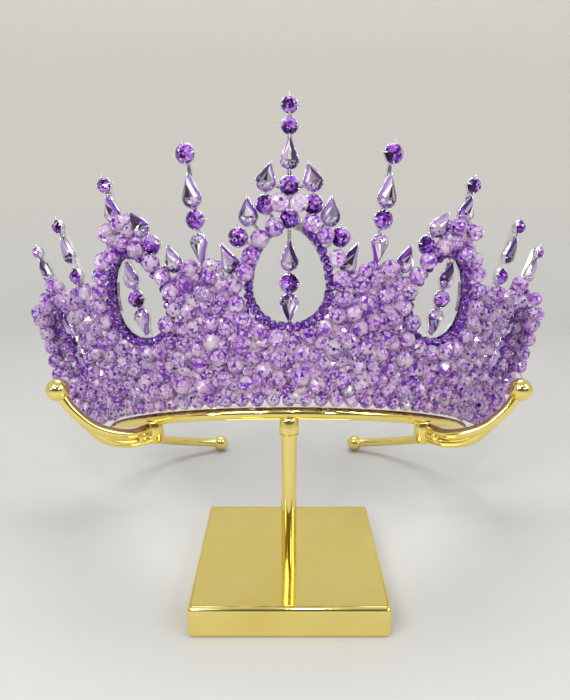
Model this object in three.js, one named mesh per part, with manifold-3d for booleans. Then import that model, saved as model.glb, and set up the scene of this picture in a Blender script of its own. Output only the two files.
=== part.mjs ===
// A crystal tiara on a polished display stand.
// Millimetres, +Z up, the front faces -Y. The origin is the centre of the base plate's underside.
// The tiara is an open cone: a point on it is given by its azimuth from the front, its slant height
// above the lower edge, and its height off the wall's inner face.
import * as THREE from "three";
import { mergeVertices } from "three/addons/utils/BufferGeometryUtils.js";
import Module from "manifold-3d";

const wasm = await Module();
wasm.setup();

// Driving dimensions
const DEG = Math.PI / 180;
const SEAT_GAP = 0.3;
const PLATE = { side: 60, height: 10.3, bevel: 1.5 };
const POST = { radius: 2.5, sides: 16 };
const COLLAR = { radius: 3.1, skirt: 5, dome: 1.6, sides: 16, rodClearance: 0.5 };
const ROD = { radius: 2.0, hornRadius: 1.75, sides: 8, hornSteps: 10, braceSteps: 8 };
// The horn and the brace leave the fitting at a share of its height below its top.
const FITTING = { radius: 2.8, height: 8.4, azimuth: 39 * DEG, sides: 10, hornShare: 0.3, braceShare: 0.75 };
const NUT = { radius: 2.6, length: 3.8, distance: 5.2, share: 0.55 };
const BALL = { radius: 3.65, sides: 10, rings: 6 };
const RING = { frontZ: 59.4, frontSweep: 66 * DEG, rearRadius: 54.6, rearEnd: 162 * DEG, spans: 32 };
const CONE = { radius: 72.4, flare: 26.5 * DEG, tilt: 28.2 * DEG, halfArc: 80 * DEG };
const AXIS_STEP = 16.2 * DEG;
const WALL = { thickness: 1.2, bandHeight: 4.4, bandSteps: 36, rimWidth: 2.6, stemWidth: 1.2, armWidth: 1.0 };
const STEM_INSET = 0.12;
const ARM_INSET = 0.24;
const STEM_FOOT = 1;
const WELD = 0.06;
const SAME_POINT = 1e-4;
const CUP = { base: 0.5, height: 1.5, inset: 0.35, sides: 6 };
const STONE_BACK = CUP.height + SEAT_GAP;
const STRING = { radius: 1.35, sides: 6, steps: 18 };
const BEAD = { columns: 38, firstRow: 4, rowPitch: 5.6, rows: 12, back: 1.5, valley: 2.9, top: 6.9 };
const BEAD_RING = { sides: 10, share: 0.68 };
// Room that a bead keeps to a string and to a stone, in bead radii.
const BEAD_ROOM = { string: 1.13, stone: 1.22 };
// How far a bead's corners and top wander from their place, and the turns that scatter them.
const SWAY = { corner: 0.45, top: 0.5, column: 12.9898, row: 78.233 };
// Towards the ends the beads are heaped higher off the wall, most at the belly's slant height.
const BULGE = { from: 60 * DEG, to: 72 * DEG, rise: 3.4 };
const BELLY = { foot: 6, slant: 25, rise: 4, fall: 0.5 };
const FIELD_TOP = { middle: 46, endRise: 7, from: 36 * DEG };
const COLLAR_OF_BEADS = 7.4;

// Horn and brace of one side, as offsets of their points from the origin, mirrored for the left.
const HORN = [
  { x: 53, y: 7, z: 49.2 },
  { x: 62, y: 2, z: 53.4 },
  { x: 68.4, y: 0, z: 60.2 },
  { x: 72.6, y: 0, z: 67.2 },
];
const BRACE = [
  { x: 53, y: 9, z: 45.4 },
  { x: 60, y: 4.4, z: 48.6 },
  { x: 65.4, y: 1, z: 56 },
];

// Stone cuts: width across the round end, length to the point, and depth from back to table.
const CUTS = {
  round: { width: 5.8, length: 5.8, depth: 3.0, sides: 8 },
  small_round: { width: 4.7, length: 4.7, depth: 2.6, sides: 8 },
  pear: { width: 5.8, length: 10.4, depth: 3.2, sides: 10 },
  slim_pear: { width: 5.2, length: 9.6, depth: 2.9, sides: 10 },
  short_pear: { width: 5.6, length: 8.6, depth: 2.9, sides: 10 },
};

// Flat back, girdle and table of every cut, as shares of its outline and of its depth.
const CUT_LEVELS = [
  { outline: 0.62, depth: 0 },
  { outline: 1, depth: 0.36 },
  { outline: 0.56, depth: 1 },
];

// Open cells in the bead field: the axis they stand on, lowest and highest slant height, half width.
// The centre cell's string stops on each side of the keystone, at an angle from the cell's foot.
const CELLS = [
  { name: "centre", axis: 0, low: 26.8, high: 55.2, half: 10.7, stringEnd: 155 * DEG },
  { name: "side", axis: 2, low: 25.4, high: 52.2, half: 10.2 },
  { name: "outer", axis: 4, low: 21.2, high: 47.2, half: 9.3 },
];
const CELL_TAPER = 0.18;

// Stones that are nodes of their own. slant is the height of the round end's centre, out the distance
// from the axis away from the front, lean the angle of the point away from the front.
const STONES = [
  { name: "top_round", axis: 0, out: 0, slant: 89.4, cut: "small_round", lean: 0 },
  { name: "neck_round", axis: 0, out: 0, slant: 83.8, cut: "small_round", lean: 0 },
  { name: "spire_pear", axis: 0, out: 0, slant: 74.4, cut: "slim_pear", lean: 0 },
  { name: "heart_round", axis: 0, out: 0, slant: 67.4, cut: "round", lean: 0 },
  { name: "crest_pear", axis: 0, out: 6.8, slant: 68.6, cut: "short_pear", lean: -18, pair: true },
  { name: "cheek_round", axis: 0, out: 6.8, slant: 62.2, cut: "round", lean: 0, pair: true },
  { name: "keystone_round", axis: 0, out: 0, slant: 57.9, cut: "round", lean: 0 },
  { name: "shoulder_pear", axis: 0, out: 11.9, slant: 58.9, cut: "short_pear", lean: 0, pair: true },
  { name: "shoulder_round", axis: 0, out: 15.0, slant: 53.1, cut: "round", lean: 0, pair: true },
  { name: "flank_pear", axis: 0, out: 17.4, slant: 45.2, cut: "slim_pear", lean: 20, pair: true },
  { name: "drop_pear", axis: 0, out: 0, slant: 45.3, cut: "slim_pear", lean: 0 },
  { name: "drop_round", axis: 0, out: 0, slant: 39.0, cut: "round", lean: 0 },
  { name: "drop_point", axis: 0, out: 0, slant: 33.0, cut: "short_pear", lean: 180 },
  { name: "column_round", axis: 1, out: 0, slant: 78.5, cut: "round", lean: 0, pair: true },
  { name: "column_pear", axis: 1, out: 0, slant: 65.7, cut: "pear", lean: 0, pair: true },
  { name: "column_knot", axis: 1, out: 0, slant: 59.4, cut: "round", lean: 0, pair: true },
  { name: "column_point", axis: 1, out: 0, slant: 52.6, cut: "slim_pear", lean: 180, pair: true },
  { name: "side_top", axis: 2, out: 0, slant: 75.3, cut: "small_round", lean: 0, pair: true },
  { name: "side_pear", axis: 2, out: 0, slant: 66.3, cut: "short_pear", lean: 0, pair: true },
  { name: "side_crest", axis: 2, out: -9.2, slant: 59.8, cut: "short_pear", lean: 26, pair: true },
  { name: "side_round", axis: 2, out: -11.5, slant: 54.2, cut: "round", lean: 0, pair: true },
  { name: "side_flank", axis: 2, out: -17.2, slant: 47.4, cut: "short_pear", lean: 8, pair: true },
  { name: "side_drop_pear", axis: 2, out: 0, slant: 45.0, cut: "short_pear", lean: 0, pair: true },
  { name: "side_drop_round", axis: 2, out: 0, slant: 38.8, cut: "round", lean: 0, pair: true },
  { name: "side_drop_point", axis: 2, out: 0, slant: 32.6, cut: "short_pear", lean: 180, pair: true },
];

// Stones near the ends, fused in short rows to a common setting.
const STONE_ROWS = [
  { row: "outer_column", axis: 3, out: 0, slant: 70.6, cut: "small_round", lean: 0 },
  { row: "outer_column", axis: 3, out: 0, slant: 60.0, cut: "slim_pear", lean: 0 },
  { row: "outer_column", axis: 3, out: 0, slant: 52.5, cut: "round", lean: 0 },
  { row: "outer_spire", axis: 4, out: 0, slant: 71.4, cut: "small_round", lean: 0 },
  { row: "outer_spire", axis: 4, out: 0, slant: 61.6, cut: "slim_pear", lean: 0 },
  { row: "outer_spire", axis: 4, out: 0, slant: 54.6, cut: "round", lean: 0 },
  { row: "outer_drop", axis: 4, out: 0, slant: 39.6, cut: "short_pear", lean: 0 },
  { row: "outer_drop", axis: 4, out: 0, slant: 33.8, cut: "small_round", lean: 0 },
  { row: "outer_drop", axis: 4, out: 0, slant: 28.2, cut: "short_pear", lean: 180 },
];
const ROW_STRIP = { width: 1.8, bite: 0.6 };

// Upright stems of the metal frame, from and to a slant height on an axis.
const STEMS = [
  { axis: 0, from: 26, to: 90.2 },
  { axis: 1, from: STEM_FOOT, to: 79.2, pair: true },
  { axis: 2, from: 24.6, to: 75.8, pair: true },
  { axis: 3, from: STEM_FOOT, to: 71.0, pair: true },
  { axis: 4, from: 20.4, to: 71.8, pair: true },
];

// Arms that carry the stones beside an axis, from a foot on the frame to the stone.
const ARMS = [
  { stone: "crest_pear", out: 0, slant: 66 },
  { stone: "cheek_round", out: 3.6, slant: 55.4 },
  { stone: "shoulder_pear", out: 7.4, slant: 52 },
  { stone: "shoulder_round", out: 9.5, slant: 48.8 },
  { stone: "flank_pear", out: 11.5, slant: 43.8 },
  { stone: "side_crest", out: 0, slant: 60 },
  { stone: "side_round", out: -6, slant: 50.4 },
  { stone: "side_flank", out: -9.1, slant: 46 },
];

const GOLD = new THREE.MeshStandardMaterial({ color: 0xd6ba55, metalness: 1, roughness: 0.14 });
const SILVER = new THREE.MeshStandardMaterial({ color: 0xdcdde0, metalness: 1, roughness: 0.18 });
const LILAC = new THREE.MeshStandardMaterial({ color: 0xb48be0, metalness: 0, roughness: 0.06 });
const VIOLET = new THREE.MeshStandardMaterial({ color: 0x5c1fa8, metalness: 0, roughness: 0.06 });
const AMETHYST = new THREE.MeshStandardMaterial({ color: 0x6b2bb8, metalness: 0, roughness: 0.05 });
const PALE = new THREE.MeshStandardMaterial({ color: 0xb79fd0, metalness: 0, roughness: 0.05 });

// Where things are on the cone
const coneRadius = (slant) => CONE.radius + slant * Math.sin(CONE.flare);

function onCone(azimuth, slant, height) {
  const radius = coneRadius(slant) + height * Math.cos(CONE.flare);
  const z = slant * Math.cos(CONE.flare) - height * Math.sin(CONE.flare);
  return new THREE.Vector3(radius * Math.sin(azimuth), CONE.radius - radius * Math.cos(azimuth), z);
}

const azimuthOf = (axis, out, slant) => axis * AXIS_STEP + out / coneRadius(slant);

// The flat frame that touches the cone at a point: x along the arc, y up the slant, z off the wall.
function tangentFrame(azimuth, slant) {
  const along = new THREE.Vector3(Math.cos(azimuth), Math.sin(azimuth), 0);
  const up = onCone(azimuth, slant + 1, 0).sub(onCone(azimuth, slant, 0));
  const off = new THREE.Vector3().crossVectors(along, up);
  return new THREE.Matrix4().makeBasis(along, up, off).setPosition(onCone(azimuth, slant, 0));
}

// The tiara leans back with its front on the cradle.
const tiara = new THREE.Group();
const ringHeight = -(ROD.radius + SEAT_GAP + WALL.thickness * Math.sin(CONE.flare));
const wallMiddle = WALL.thickness / 2;
tiara.rotation.x = -CONE.tilt;
const ringFront = new THREE.Vector3(0, -wallMiddle, ringHeight).applyEuler(tiara.rotation);
tiara.position.set(0, -ringFront.y, RING.frontZ - ringFront.z);
tiara.updateMatrix();

// Closed meshes
function geometryOf(positions, index) {
  const geometry = new THREE.BufferGeometry();
  geometry.setAttribute("position", new THREE.Float32BufferAttribute(positions, 3));
  geometry.setIndex(index);
  return geometry;
}

// Skins a row of sections that have the same number of points, counter-clockwise seen from the last one.
function loft(sections, looped = false) {
  const sides = sections[0].length;
  const positions = sections.flat().flatMap((p) => [p.x, p.y, p.z]);
  const index = [];
  const spans = looped ? sections.length : sections.length - 1;
  for (let i = 0; i < spans; i++) {
    const low = i * sides;
    const high = ((i + 1) % sections.length) * sides;
    for (let j = 0; j < sides; j++) {
      const k = (j + 1) % sides;
      index.push(low + j, low + k, high + k, low + j, high + k, high + j);
    }
  }
  if (!looped) {
    const last = (sections.length - 1) * sides;
    for (let j = 1; j < sides - 1; j++) {
      index.push(0, j + 1, j);
      index.push(last, last + j, last + j + 1);
    }
  }
  return geometryOf(positions, index);
}

function solidOf(geometry) {
  const bare = geometry.clone();
  bare.deleteAttribute("normal");
  bare.deleteAttribute("uv");
  const merged = mergeVertices(bare, SAME_POINT);
  const mesh = new wasm.Mesh({
    numProp: 3,
    vertProperties: merged.attributes.position.array,
    triVerts: new Uint32Array(merged.index.array),
  });
  return new wasm.Manifold(mesh);
}

function fused(geometries) {
  return geometries.map(solidOf).reduce((whole, next) => whole.add(next)).simplify(WELD);
}

function geometryFrom(solid) {
  const mesh = solid.getMesh();
  return geometryOf([...mesh.vertProperties], [...mesh.triVerts]);
}

function addMesh(parent, name, geometry, material) {
  const mesh = new THREE.Mesh(geometry, material);
  mesh.name = name;
  parent.add(mesh);
  return mesh;
}

// A flat strip on the cone along a path of azimuths and slant heights.
function strip(path, width, low, high, looped = false) {
  const count = path.length;
  const sections = path.map((here, i) => {
    const before = looped ? path[(i + count - 1) % count] : path[Math.max(i - 1, 0)];
    const after = looped ? path[(i + 1) % count] : path[Math.min(i + 1, count - 1)];
    const radius = coneRadius(here.slant);
    const run = new THREE.Vector2((after.azimuth - before.azimuth) * radius, after.slant - before.slant);
    run.normalize();
    const edge = (side, height) =>
      onCone(
        here.azimuth - (side * run.y * width) / 2 / radius,
        here.slant + (side * run.x * width) / 2,
        height,
      );
    return [edge(1, low), edge(1, high), edge(-1, high), edge(-1, low)];
  });
  return loft(sections, looped);
}

// The egg outline of a cell, moved outwards by grow, as azimuths and slant heights.
// It goes all the way round, or from end to end through the foot where an end angle is given.
function cellPath(cell, sign, grow, steps, end) {
  const middle = (cell.low + cell.high) / 2;
  const reach = (cell.high - cell.low) / 2 + grow;
  return Array.from({ length: steps }, (_, i) => {
    const turn = end ? end * ((2 * i) / (steps - 1) - 1) : (i / steps) * 2 * Math.PI;
    const slant = middle - reach * Math.cos(turn);
    const out = (cell.half + grow) * Math.sin(turn) * (1 + CELL_TAPER * Math.cos(turn));
    return { azimuth: sign * cell.axis * AXIS_STEP + out / coneRadius(slant), slant };
  });
}

// How far a point lies outside a cell's outline: under 0 is inside.
function outsideCell(cell, sign, azimuth, slant) {
  const middle = (cell.low + cell.high) / 2;
  const reach = (cell.high - cell.low) / 2;
  const out = (azimuth - sign * cell.axis * AXIS_STEP) * coneRadius(slant);
  const turn = Math.atan2(out / cell.half, (middle - slant) / reach);
  const edgeOut = cell.half * Math.sin(turn) * (1 + CELL_TAPER * Math.cos(turn));
  const edge = Math.hypot(edgeOut, reach * Math.cos(turn));
  return Math.hypot(out, slant - middle) - edge;
}

const sidesOf = (row) => (row.axis > 0 || row.pair ? [-1, 1] : [1]);
const sideName = (row, sign) => (row.axis > 0 || row.pair ? (sign < 0 ? "_left" : "_right") : "");

// Stones
// A cut's outline: a round end about the centre, and for a pear two straight sides to the point.
function cutOutline(cut, inset) {
  const radius = cut.width / 2 - inset;
  const point = cut.length - cut.width / 2 - inset;
  const isRound = cut.length === cut.width;
  const tangent = isRound ? Math.PI : Math.PI - Math.acos(radius / point);
  const onArc = isRound ? cut.sides : cut.sides - 1;
  const arc = Array.from({ length: onArc }, (_, i) => {
    const share = isRound ? (i + 0.5) / cut.sides : i / (onArc - 1);
    const turn = -Math.PI / 2 - tangent + 2 * tangent * share;
    return new THREE.Vector2(radius * Math.cos(turn), radius * Math.sin(turn));
  });
  return isRound ? arc : [...arc, new THREE.Vector2(0, point)];
}

function stoneGeometry(cut) {
  const girdle = cutOutline(cut, 0);
  const sections = CUT_LEVELS.map((level) =>
    girdle.map((p) => new THREE.Vector3(p.x * level.outline, p.y * level.outline, level.depth * cut.depth)),
  );
  return loft(sections);
}

function stonePlace(row, sign) {
  const azimuth = sign * azimuthOf(row.axis, row.out, row.slant);
  const turn = new THREE.Matrix4().makeRotationZ(-sign * row.lean * DEG);
  return tangentFrame(azimuth, row.slant).multiply(turn);
}

function addStones() {
  for (const row of STONES) {
    const cut = CUTS[row.cut];
    const material = row.cut.endsWith("round") ? AMETHYST : PALE;
    for (const sign of sidesOf(row)) {
      const stone = addMesh(tiara, row.name + sideName(row, sign), stoneGeometry(cut), material);
      const seat = new THREE.Matrix4().makeTranslation(0, 0, STONE_BACK);
      stonePlace(row, sign).multiply(seat).decompose(stone.position, stone.quaternion, stone.scale);
    }
  }
}

// Rows of stones fused to a strip behind them
function addStoneRows() {
  for (const name of new Set(STONE_ROWS.map((row) => row.row))) {
    const rows = STONE_ROWS.filter((row) => row.row === name);
    const slants = rows.map((row) => row.slant);
    for (const sign of [-1, 1]) {
      const azimuth = sign * rows[0].axis * AXIS_STEP;
      const ends = [Math.min(...slants), Math.max(...slants)];
      const back = ends.map((slant) => ({ azimuth, slant }));
      const stones = rows.map((row) => {
        const seat = new THREE.Matrix4().makeTranslation(0, 0, STONE_BACK);
        return stoneGeometry(CUTS[row.cut]).applyMatrix4(stonePlace(row, sign).multiply(seat));
      });
      const low = WALL.thickness + SEAT_GAP;
      const high = STONE_BACK + ROW_STRIP.bite;
      const whole = fused([strip(back, ROW_STRIP.width, low, high), ...stones]);
      addMesh(tiara, name + sideName(rows[0], sign), geometryFrom(whole), PALE);
    }
  }
}

// Metal frame: band, cell rims, stems, arms and the flat cups behind the stones, soldered together
function cupGeometry(cut) {
  const outline = cutOutline({ ...cut, sides: CUP.sides }, CUP.inset);
  const level = (height) => outline.map((p) => new THREE.Vector3(p.x, p.y, height));
  return loft([level(CUP.base), level(CUP.height)]);
}

function frameGeometry() {
  const bandPath = Array.from({ length: WALL.bandSteps + 1 }, (_, i) => ({
    azimuth: CONE.halfArc * ((2 * i) / WALL.bandSteps - 1),
    slant: WALL.bandHeight / 2,
  }));
  const pieces = [strip(bandPath, WALL.bandHeight, 0, WALL.thickness)];
  for (const cell of CELLS)
    for (const sign of sidesOf(cell)) {
      const rim = cellPath(cell, sign, STRING.radius, STRING.steps);
      pieces.push(strip(rim, WALL.rimWidth, 0, WALL.thickness, true));
      const foot = [STEM_FOOT, cell.low].map((slant) => ({ azimuth: sign * cell.axis * AXIS_STEP, slant }));
      pieces.push(strip(foot, WALL.stemWidth, STEM_INSET, WALL.thickness - STEM_INSET));
    }
  for (const stem of STEMS)
    for (const sign of sidesOf(stem)) {
      const path = [stem.from, stem.to].map((slant) => ({ azimuth: sign * stem.axis * AXIS_STEP, slant }));
      pieces.push(strip(path, WALL.stemWidth, STEM_INSET, WALL.thickness - STEM_INSET));
    }
  for (const arm of ARMS) {
    const stone = STONES.find((row) => row.name === arm.stone);
    for (const sign of [-1, 1]) {
      const path = [arm, stone].map(({ out, slant }) => ({
        azimuth: sign * azimuthOf(stone.axis, out, slant),
        slant,
      }));
      pieces.push(strip(path, WALL.armWidth, ARM_INSET, WALL.thickness - ARM_INSET));
    }
  }
  for (const row of STONES)
    for (const sign of sidesOf(row)) {
      const cup = cupGeometry(CUTS[row.cut]);
      pieces.push(cup.applyMatrix4(stonePlace(row, sign)));
    }
  return geometryFrom(fused(pieces));
}

// Strings of small beads round the cells, as plain tubes
function addStrings() {
  const height = WALL.thickness + SEAT_GAP + STRING.radius;
  for (const cell of CELLS)
    for (const sign of sidesOf(cell)) {
      const points = cellPath(cell, sign, STRING.radius, STRING.steps, cell.stringEnd);
      const closed = !cell.stringEnd;
      const curve = new THREE.CatmullRomCurve3(
        points.map((p) => onCone(p.azimuth, p.slant, height)),
        closed,
      );
      const tube = closed
        ? new THREE.TubeGeometry(curve, STRING.steps, STRING.radius, STRING.sides, true)
        : rodGeometry(curve, STRING.radius, STRING.sides, STRING.steps);
      addMesh(tiara, "string_" + cell.name + sideName(cell, sign), tube, VIOLET);
    }
}

// Bead field: beads packed in staggered rows and fused where they meet
const beadPitch = (2 * CONE.halfArc) / BEAD.columns;
const sway = (i, j, shift) => Math.sin(i * SWAY.column + j * SWAY.row + shift);
const { clamp, smoothstep } = THREE.MathUtils;

function heap(azimuth, slant) {
  const fall = 1 - BELLY.fall * smoothstep(slant, BELLY.slant, FIELD_TOP.middle);
  const belly = BELLY.rise * smoothstep(slant, BELLY.foot, BELLY.slant) * fall;
  return smoothstep(Math.abs(azimuth), BULGE.from, BULGE.to) * (BULGE.rise + belly);
}

function fieldTop(azimuth) {
  return FIELD_TOP.middle + FIELD_TOP.endRise * smoothstep(Math.abs(azimuth), FIELD_TOP.from, CONE.halfArc);
}

// The crossing point of three beads, given in half columns and third rows.
function beadCorner(half, third, sign) {
  const slant = BEAD.firstRow + (third * BEAD.rowPitch) / 3 + SWAY.corner * sway(half, third, 1);
  const wander = (SWAY.corner * sway(half, third, 2)) / coneRadius(slant);
  const clearance = (SEAT_GAP * sign) / 2 / coneRadius(slant);
  const split = Math.abs(half) <= 1 ? clearance : 0;
  return { azimuth: (half * beadPitch) / 2 + wander + split, slant };
}

// Distance from a point to the middle line of a stone, less the stone's half width.
function outsideStone(row, sign, azimuth, slant) {
  const cut = CUTS[row.cut];
  const axisAzimuth = sign * azimuthOf(row.axis, row.out, row.slant);
  const x = (azimuth - axisAzimuth) * coneRadius(slant);
  const y = slant - row.slant;
  const angle = sign * row.lean * DEG;
  const along = x * Math.sin(angle) + y * Math.cos(angle);
  const across = x * Math.cos(angle) - y * Math.sin(angle);
  const point = cut.length - cut.width / 2;
  const share = clamp(along / point, 0, 1);
  const taper = cut.length === cut.width ? 0 : share;
  return Math.hypot(across, along - taper * point) - (cut.width / 2) * (1 - taper);
}

function beadStays(azimuth, slant) {
  const beadRadius = (beadPitch * coneRadius(slant)) / 2;
  let nearest = Infinity;
  for (const cell of CELLS)
    for (const sign of sidesOf(cell))
      nearest = Math.min(nearest, outsideCell(cell, sign, azimuth, slant));
  const clearOfString = 2 * STRING.radius + SEAT_GAP + BEAD_ROOM.string * beadRadius;
  if (nearest < clearOfString || Math.abs(azimuth) > CONE.halfArc) return false;
  if (slant > fieldTop(azimuth) && nearest > COLLAR_OF_BEADS) return false;
  for (const row of [...STONES, ...STONE_ROWS])
    for (const sign of sidesOf(row))
      if (outsideStone(row, sign, azimuth, slant) < BEAD_ROOM.stone * beadRadius) return false;
  return true;
}

// A bead's corners and its neighbours, counter-clockwise: steps in half columns, and in third rows or rows.
const CORNERS = [
  [0, -2],
  [1, -1],
  [1, 1],
  [0, 2],
  [-1, 1],
  [-1, -1],
];

const NEIGHBOURS = [
  [1, -1],
  [2, 0],
  [1, 1],
  [-1, 1],
  [-2, 0],
  [-1, -1],
];
const beadKey = (half, row) => half + "," + row;

// The beads that hang together with those of the lowest row.
function joined(beads) {
  const waiting = beads.filter((bead) => bead.row === 0);
  const reached = new Set(waiting);
  while (waiting.length > 0) {
    const here = waiting.pop();
    for (const [dx, dy] of NEIGHBOURS) {
      const next = beads.find((bead) => bead.half === here.half + dx && bead.row === here.row + dy);
      if (!next || reached.has(next)) continue;
      reached.add(next);
      waiting.push(next);
    }
  }
  return beads.filter((bead) => reached.has(bead));
}

// The beads of one side of the field, by column in half pitches and by row.
function beadsOf(sign) {
  const beads = [];
  for (let row = 0; row < BEAD.rows; row++)
    for (let column = -BEAD.columns; column <= BEAD.columns; column++) {
      const half = column;
      if (Math.abs(half + row) % 2 === 1 || (sign < 0 ? half >= 0 : half < 0)) continue;
      const slant = BEAD.firstRow + row * BEAD.rowPitch;
      if (beadStays((half * beadPitch) / 2, slant)) beads.push({ half, row });
    }
  return joined(beads);
}

function beadFieldGeometry(sign) {
  const positions = [];
  const index = [];
  const known = new Map();
  const addPoint = (azimuth, slant, height) => {
    const p = onCone(azimuth, slant, height);
    positions.push(p.x, p.y, p.z);
    return positions.length / 3 - 1;
  };
  const cornerPoint = (half, third, level) => {
    const key = [half, third, level].join();
    if (!known.has(key)) {
      const corner = beadCorner(half, third, sign);
      const height = BEAD[level] + (level === "valley" ? heap(corner.azimuth, corner.slant) : 0);
      known.set(key, addPoint(corner.azimuth, corner.slant, height));
    }
    return known.get(key);
  };
  const beads = beadsOf(sign);
  const present = new Set(beads.map((bead) => beadKey(bead.half, bead.row)));
  for (const { half, row } of beads) {
    const keys = CORNERS.map(([dx, dy]) => [half + dx, 3 * row + dy]);
    const places = keys.map(([h, t]) => beadCorner(h, t, sign));
    const azimuth = places.reduce((sum, p) => sum + p.azimuth, 0) / CORNERS.length;
    const slant = places.reduce((sum, p) => sum + p.slant, 0) / CORNERS.length;
    const radius = (BEAD_RING.share * beadPitch * coneRadius(slant)) / 2;
    const top = BEAD.top + heap(azimuth, slant) + SWAY.top * sway(half, row, 3);
    const ring = Array.from({ length: BEAD_RING.sides }, (_, i) => {
      const turn = -Math.PI / 2 + (i / BEAD_RING.sides) * 2 * Math.PI;
      const out = (radius * Math.cos(turn)) / coneRadius(slant);
      return addPoint(azimuth + out, slant + radius * Math.sin(turn), top);
    });
    const valley = keys.map(([h, t]) => cornerPoint(h, t, "valley"));
    const back = keys.map(([h, t]) => cornerPoint(h, t, "back"));
    for (let i = 1; i < BEAD_RING.sides - 1; i++) index.push(ring[0], ring[i], ring[i + 1]);
    for (let i = 1; i < CORNERS.length - 1; i++) index.push(back[0], back[i + 1], back[i]);
    // The slope between the hexagon of valleys and the ring round the table
    let outer = 0;
    let inner = 0;
    while (outer < CORNERS.length || inner < BEAD_RING.sides) {
      const o = valley[outer % CORNERS.length];
      const r = ring[inner % BEAD_RING.sides];
      const outerNext = (outer + 0.5) / CORNERS.length <= (inner + 0.5) / BEAD_RING.sides;
      if (outerNext && outer < CORNERS.length) {
        outer++;
        index.push(o, valley[outer % CORNERS.length], r);
      } else {
        inner++;
        index.push(o, ring[inner % BEAD_RING.sides], r);
      }
    }
    NEIGHBOURS.forEach(([dx, dy], i) => {
      if (present.has(beadKey(half + dx, row + dy))) return;
      const j = (i + 1) % CORNERS.length;
      index.push(valley[i], back[i], back[j], valley[i], back[j], valley[j]);
    });
  }
  return geometryOf(positions, index);
}

// Stand
// A round rod along a curve.
function rodGeometry(curve, radius, sides, steps) {
  const section = new THREE.Shape(
    Array.from({ length: sides }, (_, i) => {
      const turn = (i / sides) * 2 * Math.PI;
      return new THREE.Vector2(radius * Math.cos(turn), radius * Math.sin(turn));
    }),
  );
  return new THREE.ExtrudeGeometry(section, { steps, extrudePath: curve });
}

function ballGeometry(centre, radius) {
  return new THREE.SphereGeometry(radius, BALL.sides, BALL.rings).translate(centre.x, centre.y, centre.z);
}

// A point of the cradle's open ring: a wide arc under the tiara's edge, then tighter arcs to the rear ends.
function ringPoint(turn) {
  const size = Math.abs(turn);
  const front = CONE.radius + wallMiddle;
  const bend = RING.frontSweep;
  const radius = size < bend ? front : RING.rearRadius;
  const shift = size < bend ? 0 : front - RING.rearRadius;
  const x = shift * Math.sin(bend) + radius * Math.sin(size);
  const y = CONE.radius - shift * Math.cos(bend) - radius * Math.cos(size);
  return new THREE.Vector3(Math.sign(turn) * x, y, ringHeight).applyMatrix4(tiara.matrix);
}

// A nut round the horn and the brace, on the line between two points.
function nutGeometry(from, to) {
  const run = to.clone().sub(from).normalize();
  const turn = new THREE.Quaternion().setFromUnitVectors(new THREE.Vector3(0, 1, 0), run);
  const centre = from.clone().addScaledVector(run, NUT.distance);
  return new THREE.CylinderGeometry(NUT.radius, NUT.radius, NUT.length, FITTING.sides)
    .applyQuaternion(turn)
    .translate(centre.x, centre.y, centre.z);
}

function cradleGeometry() {
  const turns = Array.from({ length: RING.spans + 1 }, (_, i) => RING.rearEnd * ((2 * i) / RING.spans - 1));
  const ring = new THREE.CatmullRomCurve3(turns.map(ringPoint));
  const pieces = [rodGeometry(ring, ROD.radius, ROD.sides, RING.spans)];
  for (const sign of [-1, 1]) {
    const root = ringPoint(sign * FITTING.azimuth);
    const down = (drop) => new THREE.Vector3(root.x, root.y, root.z - drop);
    const mirrored = (points) => points.map((p) => new THREE.Vector3(sign * p.x, p.y, p.z));
    const horn = [down(FITTING.height * FITTING.hornShare), ...mirrored(HORN)];
    const brace = [down(FITTING.height * FITTING.braceShare), ...mirrored(BRACE)];
    const barrel = new THREE.CylinderGeometry(FITTING.radius, FITTING.radius, FITTING.height, FITTING.sides)
      .rotateX(Math.PI / 2)
      .translate(root.x, root.y, root.z - FITTING.height / 2);
    pieces.push(barrel);
    pieces.push(nutGeometry(down(FITTING.height * NUT.share), horn[1].clone().add(brace[1]).divideScalar(2)));
    pieces.push(rodGeometry(new THREE.CatmullRomCurve3(horn), ROD.hornRadius, ROD.sides, ROD.hornSteps));
    pieces.push(rodGeometry(new THREE.CatmullRomCurve3(brace), ROD.hornRadius, ROD.sides, ROD.braceSteps));
    pieces.push(ballGeometry(horn.at(-1), BALL.radius));
    pieces.push(ballGeometry(ringPoint(sign * RING.rearEnd), BALL.radius));
  }
  return geometryFrom(fused(pieces));
}

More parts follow.
